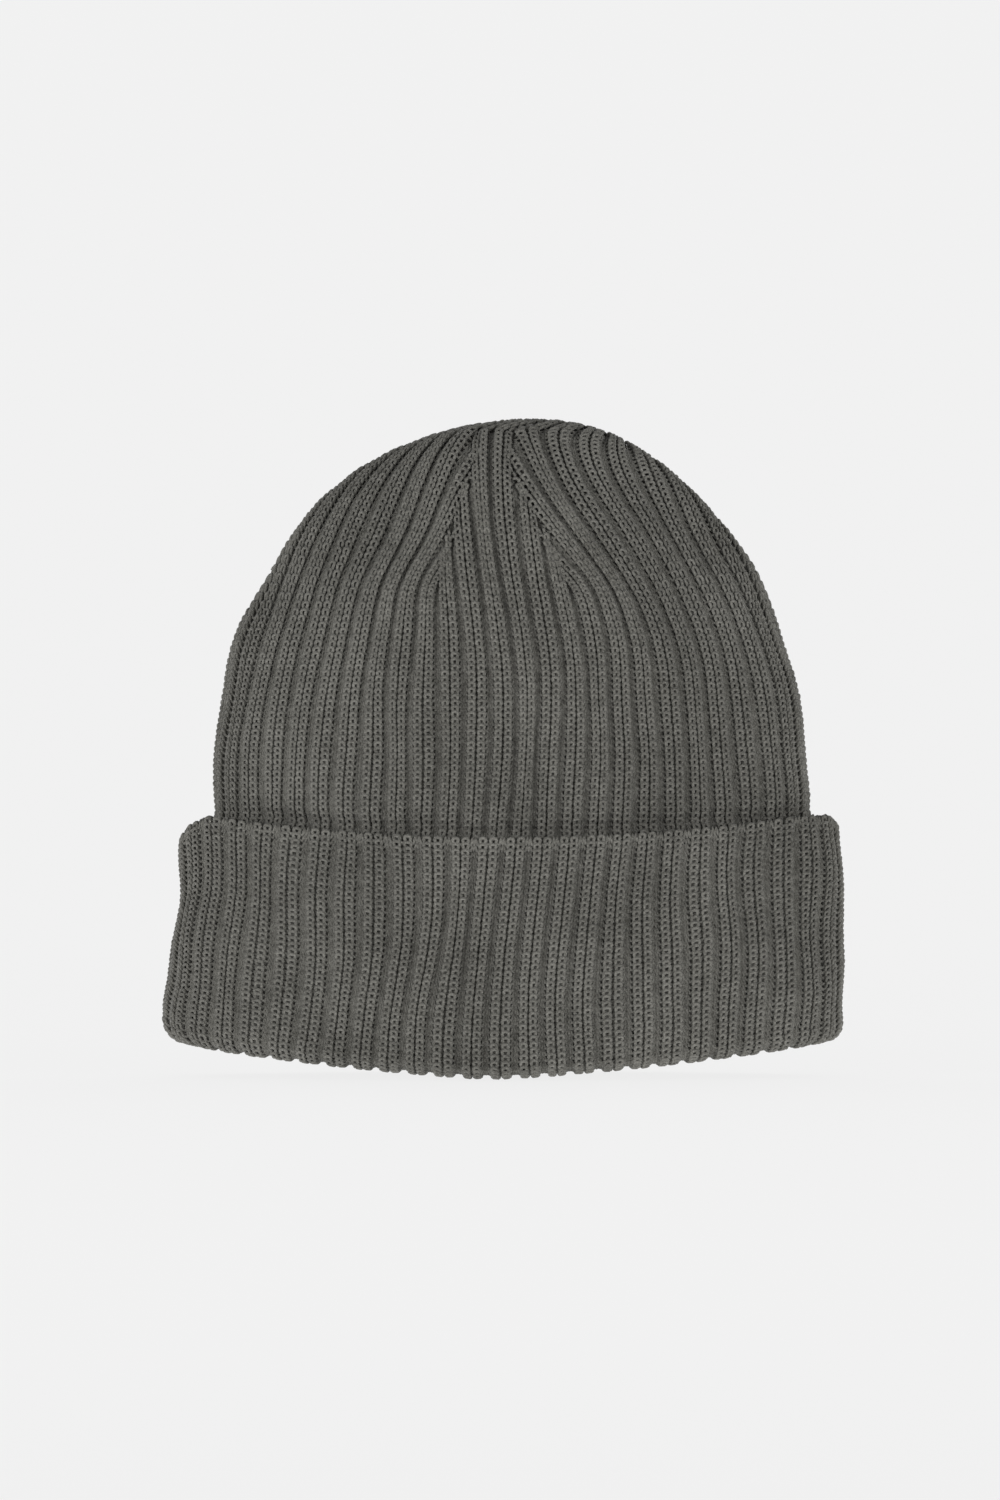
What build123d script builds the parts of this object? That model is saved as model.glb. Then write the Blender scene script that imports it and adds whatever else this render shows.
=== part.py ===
from build123d import *
from math import atan2, cos, degrees, radians, sin
import os

# A rib-knit beanie with its cuff turned up, standing on the folded hem.
# Millimetres, +Z up to the crown's top, the front faces -Y.
# The origin is the middle of the hem, on the surface that the hat stands on.
# The fabric is soft, so the crown sits a little off the cuff's middle, to +X.

# ---- driving dimensions ----
HEIGHT = 212.0                # hem to crown top, with the cuff turned up
KNIT_THICKNESS = 3.6          # one ply of the rib

# crown: a straight wall under a closed dome
CROWN_HALF_WIDTH = 96.2
CROWN_HALF_DEPTH = 40.0
CROWN_SIDE_RADIUS = 24.5      # how tightly the wall turns at the left and right sides
CROWN_FLARE = 3.3             # the wall is this much wider to each side at the hem
DOME_BASE = 89.5              # height at which the wall begins to curve in
WIDTH_POWER = 2.1             # dome seen from the front: 2 is an ellipse, more is squarer shoulders
DEPTH_POWER = 2.5             # dome seen from the side
DOME_SECTIONS = 9
DOME_LAST_ANGLE = radians(85)
CROWN_SHIFT = 2.0             # the crown's middle is this far to +X
TOP_SHIFT = 11.0              # the very top leans this much further ...
TOP_SHIFT_POWER = 14          # ... and only the last few millimetres lean
SKIRT_HEIGHT = -45.0          # the wall is drawn down to here and cut off at the hem

# cuff: the lower end of the tube, folded up once on the outside
CUFF_TOP_HALF_WIDTH = 106.5
CUFF_TOP_HALF_DEPTH = 45.8
CUFF_HEM_HALF_WIDTH = 110.0
CUFF_HEM_HALF_DEPTH = 46.8
CUFF_SIDE_RADIUS = 28.5
CUFF_SPAN = 89.5              # the upper widths are given at this height, above the cuff's edge
CUFF_HEM_SHIFT = -0.5         # the cuff leans a little to +X as it rises
CUFF_TOP_SHIFT = 2.5
CUFF_HEIGHT = 78.5            # at the middle of the front
CUFF_TOP_ARC = 714.0          # radius of the cuff's upper edge, seen from the front
FOLD_HEIGHT = 7.8             # the folded hem, from its outside to its inside
HEM_FLAT_HALF = 15.0          # the middle of the hem lies flat on the table
HEM_ARC = 360.0               # radius at which the hem rises to each side
HEM_ARC_SWEEP = radians(24)   # long enough to pass the cuff's sides
HEM_CORNER = 9.0              # rounding of the two lower corners

# seams and trim
SEAM_DEPTH = 3.0              # how far a seam allowance stands in from the wall
DART_WIDTH = 1.6
DART_X = 25.0                 # where a dart starts, to the side of the middle ...
DART_Y = 34.0                 # ... and in front of or behind it
DART_START = 157.0            # height at which the darts start
RIDGE_SEAM_START = 146.0      # height at which the seams along the top ridge start
TACK_RADIUS = 5.0             # closing stitches at the top of the crown
TACK_DEPTH = 2.4
TACK_REACH = 30.0             # height of the column that marks out the closing stitches
BACK_SEAM_WIDTH = 2.4
BACK_SEAM_START = 10.0
BACK_SEAM_END = 8.0           # it stops this far behind the closing point
CUFF_SEAM_WIDTH = 5.0         # pressed flat between cuff and crown
CUFF_SEAM_DEPTH = 1.2
LABEL_WIDTH = 30.0
LABEL_LENGTH = 42.0
LABEL_THICKNESS = 0.8
LABEL_TOP = 69.5              # height of the hinge line, which is the label's sewn edge
LABEL_SETBACK = 0.5           # from the seam's inner edge to the middle of the label
STITCH_WIDTH = 26.0
STITCH_HEIGHT = 1.6

# clearances
FOLD_GAP = 0.4                # crown's lower edge above the inside of the fold
STITCH_GAP = 0.8              # label's sewn edge below its stitches
REACH = 300.0                 # longer than anything that it cuts


def oval(half_width, half_depth, side_radius, shift, height):
    """Plan outline of four tangent arcs: flat front and back, round sides."""
    side_x = half_width - side_radius
    front_radius = (side_x**2 + half_depth**2 - side_radius**2) / (2 * (half_depth - side_radius))
    turn = atan2(front_radius - half_depth, side_x)
    join_x = side_x + side_radius * cos(turn)
    join_y = side_radius * sin(turn)
    back = ThreePointArc((join_x, join_y), (0, half_depth), (-join_x, join_y))
    left = ThreePointArc((-join_x, join_y), (-half_width, 0), (-join_x, -join_y))
    front = ThreePointArc((-join_x, -join_y), (0, -half_depth), (join_x, -join_y))
    right = ThreePointArc((join_x, -join_y), (half_width, 0), (join_x, join_y))
    outline = Face(Wire([back, left, front, right]))
    return Pos(shift, 0, height) * outline


def crown_solid(inset):
    """The crown's outer form, taken in by inset all round, from below the hem to the top."""
    half_width = CROWN_HALF_WIDTH - inset
    half_depth = CROWN_HALF_DEPTH - inset
    side_radius = CROWN_SIDE_RADIUS - inset
    rise = HEIGHT - DOME_BASE - inset
    base = oval(half_width, half_depth, side_radius, CROWN_SHIFT, DOME_BASE)
    skirt_flare = CROWN_FLARE * (DOME_BASE - SKIRT_HEIGHT) / DOME_BASE
    skirt = oval(half_width + skirt_flare, half_depth, side_radius, CROWN_SHIFT, SKIRT_HEIGHT)
    wall = loft([skirt, base], ruled=True)
    sections = []
    for step in range(DOME_SECTIONS):
        climb = sin(DOME_LAST_ANGLE * step / (DOME_SECTIONS - 1)) ** (2 / WIDTH_POWER)
        width = half_width * (1 - climb**WIDTH_POWER) ** (1 / WIDTH_POWER)
        depth_left = (1 - climb**DEPTH_POWER) ** (1 / DEPTH_POWER)
        shift = CROWN_SHIFT + TOP_SHIFT * climb**TOP_SHIFT_POWER
        height = DOME_BASE + rise * climb
        sections.append(oval(width, half_depth * depth_left, side_radius * depth_left, shift, height))
    return wall + loft(sections)


def cuff_solid(inset):
    """The cuff's outer form, taken in by inset all round and longer than the cuff at both ends."""
    side_radius = CUFF_SIDE_RADIUS - inset
    hem = oval(CUFF_HEM_HALF_WIDTH - inset, CUFF_HEM_HALF_DEPTH - inset, side_radius, CUFF_HEM_SHIFT, 0)
    top = oval(CUFF_TOP_HALF_WIDTH - inset, CUFF_TOP_HALF_DEPTH - inset, side_radius, CUFF_TOP_SHIFT, CUFF_SPAN)
    return loft([hem, top], ruled=True)


def hem_line(lift):
    """Everything above the hem's curve as seen from the front, raised by lift."""
    arc_radius = HEM_ARC - lift
    end_x = HEM_FLAT_HALF + arc_radius * sin(HEM_ARC_SWEEP)
    end_z = HEM_ARC - arc_radius * cos(HEM_ARC_SWEEP)
    mid_x = HEM_FLAT_HALF + arc_radius * sin(HEM_ARC_SWEEP / 2)
    mid_z = HEM_ARC - arc_radius * cos(HEM_ARC_SWEEP / 2)
    floor = Line((-HEM_FLAT_HALF, lift), (HEM_FLAT_HALF, lift))
    right = ThreePointArc((HEM_FLAT_HALF, lift), (mid_x, mid_z), (end_x, end_z))
    left = ThreePointArc((-end_x, end_z), (-mid_x, mid_z), (-HEM_FLAT_HALF, lift))
    rest = Polyline((end_x, end_z), (end_x, REACH), (-end_x, REACH), (-end_x, end_z))
    outline = Face(Wire([floor, right, *rest.edges(), left]))
    return extrude(Plane.XZ * outline, REACH / 2, both=True)


def cuff_outline():
    """The cuff seen from the front: risen hem, rounded lower corners, hollow upper edge."""
    slab = hem_line(0) & Pos(0, 0, REACH / 2) * Box(2 * CUFF_HEM_HALF_WIDTH, REACH, REACH)
    corners = slab.edges().filter_by(Axis.Y).filter_by(lambda edge: edge.center().Z < CUFF_HEIGHT)
    lower_corners = corners.filter_by(lambda edge: abs(edge.center().X) > CROWN_HALF_WIDTH)
    slab = fillet(lower_corners, HEM_CORNER)
    above = Pos(0, 0, CUFF_HEIGHT + CUFF_TOP_ARC) * Rot(90, 0, 0) * Cylinder(CUFF_TOP_ARC, REACH)
    return slab - above


def make_knit_crown():
    shell = crown_solid(0) - crown_solid(KNIT_THICKNESS)
    return shell & hem_line(FOLD_HEIGHT + FOLD_GAP)


def make_turn_up_cuff():
    body = cuff_solid(0) & cuff_outline()
    pocket = cuff_solid(KNIT_THICKNESS) & hem_line(FOLD_HEIGHT)
    return body - pocket - crown_solid(KNIT_THICKNESS)


def seam_allowance(blade, depth):
    """The part of a blade that lines the inside of the crown to the given depth."""
    lining = crown_solid(KNIT_THICKNESS) - crown_solid(KNIT_THICKNESS + depth)
    return lining & blade


def tack_core():
    return Pos(0, 0, HEIGHT - TACK_RADIUS) * Cylinder(TACK_RADIUS, TACK_REACH)


def make_dart_seam(side, end):
    """A dart's seam allowance. side is -1 left or 1 right, end is -1 front or 1 back."""
    azimuth = degrees(atan2(end * DART_Y, side * DART_X))
    blade = Pos(CROWN_HALF_WIDTH / 2, 0, DART_START + REACH / 2) * Box(CROWN_HALF_WIDTH, DART_WIDTH, REACH)
    return seam_allowance(Rot(0, 0, azimuth) * blade - tack_core(), SEAM_DEPTH)


def make_ridge_seam(side):
    """The allowance of the seam that joins front and back along the top. side is -1 left or 1 right."""
    blade = Pos(side * REACH / 2, 0, RIDGE_SEAM_START + REACH / 2) * Box(REACH, DART_WIDTH, REACH)
    return seam_allowance(blade - tack_core(), SEAM_DEPTH)


def make_back_seam():
    blade = Box(BACK_SEAM_WIDTH, REACH, REACH)
    place = Pos(CROWN_SHIFT, BACK_SEAM_END + REACH / 2, BACK_SEAM_START + REACH / 2)
    return seam_allowance(place * blade, SEAM_DEPTH)


def make_crown_tack():
    return seam_allowance(tack_core(), TACK_DEPTH)


def make_cuff_back_seam():
    lining = cuff_solid(KNIT_THICKNESS) - cuff_solid(KNIT_THICKNESS + CUFF_SEAM_DEPTH)
    length = CUFF_HEIGHT - FOLD_HEIGHT
    blade = Pos(CROWN_SHIFT, REACH / 2, FOLD_HEIGHT + length / 2) * Box(CUFF_SEAM_WIDTH, REACH, length)
    return lining & blade


def label_face_y():
    """The back seam's inner edge, which the label hangs against."""
    return CROWN_HALF_DEPTH - KNIT_THICKNESS - SEAM_DEPTH


def make_care_label():
    middle_y = label_face_y() - LABEL_SETBACK - LABEL_THICKNESS / 2
    middle_z = LABEL_TOP - LABEL_LENGTH / 2
    return Pos(CROWN_SHIFT, middle_y, middle_z) * Box(LABEL_WIDTH, LABEL_THICKNESS, LABEL_LENGTH)


def make_care_label_stitches():
    depth = LABEL_SETBACK + LABEL_THICKNESS / 2
    middle_z = LABEL_TOP + STITCH_GAP + STITCH_HEIGHT / 2
    return Pos(CROWN_SHIFT, label_face_y() - depth / 2, middle_z) * Box(STITCH_WIDTH, depth, STITCH_HEIGHT)


parts = {
    "knit_crown": make_knit_crown(),
    "turn_up_cuff": make_turn_up_cuff(),
    "dart_seam_front_left": make_dart_seam(-1, -1),
    "dart_seam_front_right": make_dart_seam(1, -1),
    "dart_seam_back_left": make_dart_seam(-1, 1),
    "dart_seam_back_right": make_dart_seam(1, 1),
    "ridge_seam_left": make_ridge_seam(-1),
    "ridge_seam_right": make_ridge_seam(1),
    "back_seam": make_back_seam(),
    "crown_tack": make_crown_tack(),
    "cuff_back_seam": make_cuff_back_seam(),
    "care_label": make_care_label(),
    "care_label_stitches": make_care_label_stitches(),
}

os.makedirs("parts", exist_ok=True)
for name, solid in parts.items():
    solid.label = name
    export_step(solid, f"parts/{name}.step")
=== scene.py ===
"""Looks of the rib-knit beanie: every visible stitch is a loop of real yarn laid over the CAD form."""
from math import cos, pi, radians, sin

import bpy
import numpy as np
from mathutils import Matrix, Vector


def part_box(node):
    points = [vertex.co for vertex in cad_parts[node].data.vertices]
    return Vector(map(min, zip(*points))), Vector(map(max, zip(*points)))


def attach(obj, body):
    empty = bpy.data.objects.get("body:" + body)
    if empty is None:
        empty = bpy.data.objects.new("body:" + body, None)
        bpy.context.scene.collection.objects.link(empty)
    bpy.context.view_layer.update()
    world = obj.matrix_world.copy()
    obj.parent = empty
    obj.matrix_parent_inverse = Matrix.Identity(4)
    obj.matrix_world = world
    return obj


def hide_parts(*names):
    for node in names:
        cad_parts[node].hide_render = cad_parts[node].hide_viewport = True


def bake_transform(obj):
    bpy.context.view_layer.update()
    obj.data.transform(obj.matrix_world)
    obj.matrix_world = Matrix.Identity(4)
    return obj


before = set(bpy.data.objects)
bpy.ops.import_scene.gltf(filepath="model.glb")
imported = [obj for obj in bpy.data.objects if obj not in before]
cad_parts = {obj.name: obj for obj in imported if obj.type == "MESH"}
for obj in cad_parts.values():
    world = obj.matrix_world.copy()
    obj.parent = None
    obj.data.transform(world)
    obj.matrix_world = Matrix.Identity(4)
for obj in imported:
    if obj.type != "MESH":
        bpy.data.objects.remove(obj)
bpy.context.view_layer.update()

MM = 0.001
random = np.random.default_rng(20)

# ---- the form, in metres: the CAD boxes, and the shape constants of part.py ----
crown_low, crown_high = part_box("knit_crown")
cuff_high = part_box("turn_up_cuff")[1]
label_low, label_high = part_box("care_label")
TOP = crown_high.z
CROWN_HALF_WIDTH = 96.2 * MM
CROWN_HALF_DEPTH = crown_high.y
CROWN_SIDE_RADIUS = 24.5 * MM
CROWN_FLARE = 3.3 * MM
DOME_BASE = 89.5 * MM
WIDTH_POWER = 2.1
DEPTH_POWER = 2.5
CROWN_SHIFT = 2.0 * MM          # the crown's middle is this far to +X
TOP_SHIFT = 8.5 * MM            # and its very top this much further
TOP_SHIFT_POWER = 14
CUFF_TOP_HALF_WIDTH = 106.5 * MM
CUFF_TOP_HALF_DEPTH = 45.8 * MM
CUFF_HEM_HALF_WIDTH = 110.0 * MM
CUFF_HEM_HALF_DEPTH = cuff_high.y
CUFF_SIDE_RADIUS = 28.5 * MM
CUFF_SPAN = 89.5 * MM
CUFF_HEM_SHIFT = -0.5 * MM
CUFF_TOP_SHIFT = 2.5 * MM
CUFF_HEIGHT = 78.5 * MM
CUFF_TOP_ARC = 714.0 * MM
HEM_MIDDLE = -3.5 * MM          # where along X the hem lies lowest
HEM_ROUNDING = 8.0 * MM         # the hem rises from its middle, first steadily and then along an arc
HEM_SLOPE = 0.0605
HEM_ARC = 1480.0 * MM
CORNER_START = 93 * MM          # the cuff's upper corners droop beyond this, most of all at -X
CORNER_RUN = 13 * MM
CORNER_DROOP_LEFT = 5.5 * MM
CORNER_DROOP_RIGHT = 1.5 * MM
CORNER_ROUNDING = 4 * MM
PINCH = 1.6 * MM                # the cuff is drawn in at its -X side, most of all at this height
PINCH_HEIGHT = 52 * MM
PINCH_REACH = 16 * MM
GRIP_DEPTH = 2.3 * MM           # the cuff's edge presses the crown in
GRIP_WIDTH = 2.4 * MM
GRIP_HEIGHT = 1.2 * MM
GRIP_LOSS = 0.85                # but by this share less at the sides, beyond GRIP_END
GRIP_END = 70 * MM
GRIP_FADE = 22 * MM
LIP_HEIGHT = 5 * MM             # inside the fold, the cuff meets the crown's wall at about this height

# ---- the knitting ----
RIBS = 54                       # around the hat
QUARTER = RIBS / 4
COURSE = 1.88 * MM              # height of one course of the crown
DOME_STRETCH = 0.2              # the courses lie this much further apart on the dome
CUFF_COURSE = 1.9 * MM
CROWN_RIB_START = 0.5           # ribs from the front's middle to the nearest rib's middle
CUFF_RIB_START = 0.0
WALE_SHARE = 0.372              # width of one knit wale, as a share of a rib
YARN_RADIUS = 0.54 * MM
YARN_SIDES = 5
KNIT_POINTS = 10                # yarn points in one face stitch
PURL_POINTS = 4                 # yarn points in one stitch at the bottom of a trough
KNIT_SWING = 0.056              # how far a loop's head bulges sideways, in ribs
KNIT_REACH = 0.57               # how far a loop reaches up and down, in courses
PURL_REACH = 0.6
FACE_DEPTH = 0.68 * MM          # middle of the face loops below the surface
FACE_SWAY = 0.05 * MM
FOOT_DEPTH = 1.35 * MM          # the feet of a loop lie this much deeper than its head
RIB_ROUNDING = 0.45 * MM        # how much lower a rib is at its edges
TROUGH_DEPTH = 2.9 * MM
TROUGH_SWAY = 0.1 * MM
LINING_DEPTH = 3.3 * MM         # the skin behind the yarn
LINING_BACK = 3.8 * MM
LINING_RELIEF = 0.5 * MM        # the ribs as they show inside
RIDGE_FILL = 1.5 * MM           # the skin rises under the ridge seam, so that no light shows through
RIDGE_REACH = 3 * MM
SIDE_FILL = 1.0 * MM            # and at the sides, for the same reason
SIDE_FILL_POWER = 6
RELIEF_FADE = 12 * MM           # the inner relief fades over this height below the seams
CROWN_WALL_RINGS = 50
CUFF_RINGS = 90
SIDE_FLATNESS = 0.3             # share of their relief that the ribs lose at the stretched sides
FLAT_DEPTH = 1.4 * MM           # depth of a rib without relief
UNEVEN_STEP = 0.24              # ribs between one unevenness of the yarn and the next
UNEVEN_PLACE = 0.008
UNEVEN_REACH = 0.06
UNEVEN_HEIGHT = 0.04
UNEVEN_DEPTH = 0.07 * MM
SWAY_SIZE = 0.28 * MM           # slow drift of the ribs to the sides
SWAY_ROOM = 60 * MM             # it is less where a quarter of the way round is shorter than this
PUCKER_SIZE = 0.48 * MM         # hollows and swells of the fabric
PUCKER_LOSS_TOP = 0.8           # how much of them is gone at the tight top, and at the sides
PUCKER_LOSS_SIDE = 0.7
PUCKER_FADE = 165 * MM          # they fade from this height, over this run
PUCKER_FADE_RUN = 30 * MM
RIB_DRIFT = 0.045               # how far one rib strays, in ribs
DRIFT_LEVELS = 7                # heights at which it strays anew
ROWS_PER_PIECE = 13             # keeps each piece under 200,000 triangles
AROUND_HAT = 432                # points of a lining ring, eight to a rib

# ---- how the crown closes ----
FACES = ((1, "front"), (-1, "back"))
SIDES = ((1, "right"), (-1, "left"))
RIB_PITCH = 8.33 * MM           # at the foot of the dome
PITCH_LOSS = 0.165              # the ribs draw together by this share up to the darts
DART_RIB = 3.0                  # each dart starts this many ribs from the front's middle
DART_START = 158 * MM
DART_SLOPE = 0.37               # how fast a dart nears the middle as it climbs
DART_END = 5.4 * MM             # its distance from the middle near the top
DART_END_SHARE = 0.42           # and at the very top, as a share of a quarter of the way round
RIDGE_START = 146 * MM          # the seam along the top ridge starts here on each side
VALLEY_DEPTH = 1.7 * MM         # how far the fabric dips into a seam
VALLEY_WIDTH = 2.0 * MM
PANEL_OVERLAP = 1.6 * MM        # how far a panel's courses run on past its seams
LEAN_START = 125 * MM           # height at which the ribs begin to lean inwards
STRAIGHT_REACH = 14 * MM        # nearer the middle than this they stay upright
SIDE_LEAN = 0.38                # slope of the ribs at the sides, and what the dart adds to it
DART_LEAN = 0.65
DART_LEAN_REACH = 22 * MM
WALK_RIB = 6.0                  # the courses of a side panel are counted on this rib
COURSE_TILT = 0.6               # 0 keeps the courses level, 1 sets them square to the ribs
PETAL_SWAY = 6.2 * MM           # how far the closing point lies to -X of the crown's middle
PETAL_SWAY_LIMIT = 0.42         # of a quarter of the way round
PETAL_SWAY_RUN = 80 * MM
RING_COLUMNS = 271              # columns of the table of whole courses, and of the panels' tables
PETAL_COLUMNS = 41
SIDE_COLUMNS = 141
SIDE_SPARE = 1.2                # ribs that a side panel's table runs on past the dart
FEWEST_COLUMNS = 6              # a course shorter than this is left out
PANEL_TOP_GAP = 0.02 * MM       # levels nearer the top than this lie outside a panel
PITCH_RUN = 75 * MM             # climb over which the ribs draw together
LEAN_RUN = 38 * MM              # climb over which the ribs come to lean
LEAN_REACH = 30 * MM            # distance from the straight ribs over which the lean grows
DART_PULL_START = 150 * MM      # the darts draw the ribs in from this height, over this run
DART_PULL_RUN = 14 * MM
DART_VALLEY_START = DART_START - 8 * MM   # the fabric begins to dip into a dart here, over this run
DART_VALLEY_RUN = 12 * MM
RIDGE_VALLEY_START = RIDGE_START - 4 * MM   # and into the ridge seam here
RIDGE_VALLEY_RUN = 24 * MM
RIDGE_VALLEY_SHARE = 0.35
TILT_RUN = 25 * MM
WALL_LEVELS = 120               # levels at which the form is tabled: on the straight wall, and in all
LEVELS = 520
TOP_GAP = 0.12 * MM
LEVEL_SPREAD = 0.95
WALK_STEP = 0.6 * MM            # step of the tables along the fabric, which run on past the front's top
WALK_SPARE = 60 * MM
FIRST_WALK = 1.2 * MM           # the first course lies this far up the wall
STRETCH_RUN = 45 * MM           # the courses move apart over this length

# ---- the cuff's fabric: a lip inside, the fold, and the outer wall ----
LIP_COURSES = 1.3
FOLD_COURSES = 8.0
WALL_COURSES = 39.0
CUFF_COURSES = LIP_COURSES + FOLD_COURSES + WALL_COURSES
FOLD_FLATNESS = 0.7             # the fold is pressed a little flatter than round
SIDE_FULLNESS = 0.35            # except at the sides
SIDE_CROWDING = 0.07            # how much wider apart the ribs lie at the sides than at the middle
CUFF_SWAY_PHASE = 1.7
CUFF_PUCKER_PHASE = 2.3
SWELL_RUN = 1 / 6               # the hollows and swells grow over this share of the wall
WALL_LIMIT = 1.05               # the map runs on past the cuff's edge to this share of the wall
EDGE_FLATNESS = 0.75            # the ribs lose this share of their relief at the cuff's upper edge
EDGE_FLAT_COURSES = 2
HEM_FLATNESS = 0.4              # and this share where they go round the fold
EDGE_ROWS = ((-0.15, 0.75 * MM), (-0.5, 1.7 * MM), (-1.0, 2.5 * MM))   # courses down, further depth

# ---- the fabric that joins cuff and crown inside the hat ----
GUSSET_LOW = 3.5 * MM           # above the hem
GUSSET_HIGH = 23 * MM
GUSSET_DEPTH = 4.9 * MM
GUSSET_THICKNESS = 0.5 * MM
GUSSET_RELIEF = 0.25 * MM
GUSSET_ROWS = 40

# ---- seams and closing stitches ----
SEAM_YARN_RADIUS = 0.42 * MM
STITCH_POINTS = 8               # yarn points in one turn of an overlocked seam
STITCH_PITCH = 2.0 * MM
SEAM_BEHIND = LINING_BACK + 0.9 * MM
SEAM_HALF_DEPTH = 0.9 * MM
DART_SEAM_HALF_WIDTH = 0.8 * MM
BACK_SEAM_HALF_WIDTH = 1.1 * MM
BACK_SEAM_START = 10 * MM
CUFF_SEAM_HALF_WIDTH = 2.0 * MM   # pressed flat between cuff and crown
CUFF_SEAM_HALF_DEPTH = 0.1 * MM
SEAM_POINTS = 60                # points along a dart's or the ridge's seam
BACK_SEAM_POINTS = 160
CUFF_SEAM_POINTS = 80
SEAM_END = TOP - 3 * MM
BACK_SEAM_END = TOP - 4 * MM
CLOSING_RINGS = ((5, 1.3, 1.3), (9, 3.1, 1.2), (14, 4.9, 1.3))   # loops, radius and depth in mm
CLOSING_SWING = 0.75 * MM
CLOSING_DIP = 0.35 * MM
CLOSING_WIDTH = 1.25            # the rings are wider than deep
CLOSING_LENGTH = 0.85

# ---- the label ----
LABEL_COLUMNS = 13
LABEL_ROWS = 25
LABEL_HALF_THICKNESS = 0.14 * MM
LABEL_CURL = 1.0 * MM
LABEL_WAVE = 0.5 * MM
THREAD_RADIUS = 0.22 * MM
THREAD_STITCHES = 20
THREAD_HEIGHT = 2.2 * MM
THREAD_OVERLAP = 0.8 * MM       # how far the stitches reach down over the label
THREAD_FRONT = -0.15 * MM       # the two rows of stitches, from the label's front face
THREAD_BACK = 0.65 * MM


def smooth_step(value):
    value = np.clip(value, 0, 1)
    return value * value * (3 - 2 * value)


def read_table(table, column, row):
    """Bilinear reading of a table of numbers or of points."""
    column = np.clip(column, 0, table.shape[0] - 1.001)
    row = np.clip(row, 0, table.shape[1] - 1.001)
    left, low = column.astype(int), row.astype(int)
    across, up = column - left, row - low
    if table.ndim == 3:
        across, up = across[..., None], up[..., None]
    first = table[left, low] * (1 - up) + table[left, low + 1] * up
    second = table[left + 1, low] * (1 - up) + table[left + 1, low + 1] * up
    return first * (1 - across) + second * across


def unit(vectors):
    return vectors / np.maximum(np.linalg.norm(vectors, axis=-1, keepdims=True), 1e-12)


# ---------------------------------------------------------------- the form
def front_turn(half_width, half_depth, side_radius):
    """Radius of the flat front's arc, and the angle at which the side's arc takes over."""
    side_x = half_width - side_radius
    front_radius = (side_x**2 + half_depth**2 - side_radius**2) / (2 * (half_depth - side_radius))
    return front_radius, np.arctan2(side_x, front_radius - half_depth)


def quarter_length(half_width, half_depth, side_radius):
    front_radius, turn = front_turn(half_width, half_depth, side_radius)
    return front_radius * turn + side_radius * (pi / 2 - turn)


def fold_round(place, whole):
    """Signed place, its distance from the front's or back's middle, and whether it is at the back."""
    signed = (place + whole / 2) % whole - whole / 2
    folded = np.abs(signed)
    back = folded > whole / 4
    return signed, np.where(back, whole / 2 - folded, folded), back


def unfold(signed, back, share):
    """Quarters round the hat, from a share of the quarter that a place lies in."""
    return np.where(signed < 0, -1, 1) * np.where(back, 2 - share, share)


def oval(quarters, half_width, half_depth, side_radius):
    """Point and outward normal on the plan outline. quarters is 0 at the front, 1 right, 2 back."""
    front_radius, turn = front_turn(half_width, half_depth, side_radius)
    signed, folded, back = fold_round(quarters, 4)
    front_length = front_radius * turn
    length = folded * quarter_length(half_width, half_depth, side_radius)
    on_front = length <= front_length
    angle = np.where(on_front, length / front_radius, turn + (length - front_length) / side_radius)
    side_x = half_width - side_radius
    x = np.where(on_front, front_radius * np.sin(angle), side_x + side_radius * np.sin(angle))
    y = np.where(on_front, front_radius * (1 - np.cos(angle)) - half_depth, -side_radius * np.cos(angle))
    right = np.where(signed < 0, -1.0, 1.0)
    front = np.where(back, -1.0, 1.0)
    return x * right, y * front, np.sin(angle) * right, -np.cos(angle) * front


def crown_climb(height):
    return np.clip((height - DOME_BASE) / (TOP - DOME_BASE), 0, 0.9995)


def crown_section(height):
    """Half width, half depth and side radius of the crown's outside at a height."""
    climb = crown_climb(height)
    width_left = (1 - climb**WIDTH_POWER) ** (1 / WIDTH_POWER)
    depth_left = (1 - climb**DEPTH_POWER) ** (1 / DEPTH_POWER)
    flare = CROWN_FLARE * np.clip(1 - height / DOME_BASE, 0, 1)
    half_width = CROWN_HALF_WIDTH * width_left + flare
    return half_width, CROWN_HALF_DEPTH * depth_left, CROWN_SIDE_RADIUS * depth_left


def cuff_section(height):
    share = height / CUFF_SPAN
    half_width = CUFF_HEM_HALF_WIDTH + (CUFF_TOP_HALF_WIDTH - CUFF_HEM_HALF_WIDTH) * share
    half_depth = CUFF_HEM_HALF_DEPTH + (CUFF_TOP_HALF_DEPTH - CUFF_HEM_HALF_DEPTH) * share
    return half_width, half_depth, CUFF_SIDE_RADIUS


def cuff_shift(height):
    return CUFF_HEM_SHIFT + (CUFF_TOP_SHIFT - CUFF_HEM_SHIFT) * height / CUFF_SPAN


def hem_height(x):
    away = x - HEM_MIDDLE
    steady = HEM_SLOPE * (np.sqrt(away**2 + HEM_ROUNDING**2) - HEM_ROUNDING)
    return steady + HEM_ARC - np.sqrt(HEM_ARC**2 - away**2)


def cuff_top_height(x):
    """Height of the cuff's upper edge, which droops towards its sides and is rounded at its corners."""
    droop = np.where(x < 0, CORNER_DROOP_LEFT, CORNER_DROOP_RIGHT)
    edge = CUFF_HEIGHT + CUFF_TOP_ARC - np.sqrt(CUFF_TOP_ARC**2 - x**2)
    edge = edge - droop * smooth_step((np.abs(x) - CORNER_START) / CORNER_RUN)
    from_side = cuff_section(CUFF_HEIGHT)[0] - np.abs(x - cuff_shift(CUFF_HEIGHT))
    return edge - CORNER_ROUNDING * np.clip(1 - from_side / CORNER_ROUNDING, 0, 1) ** 2


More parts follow.
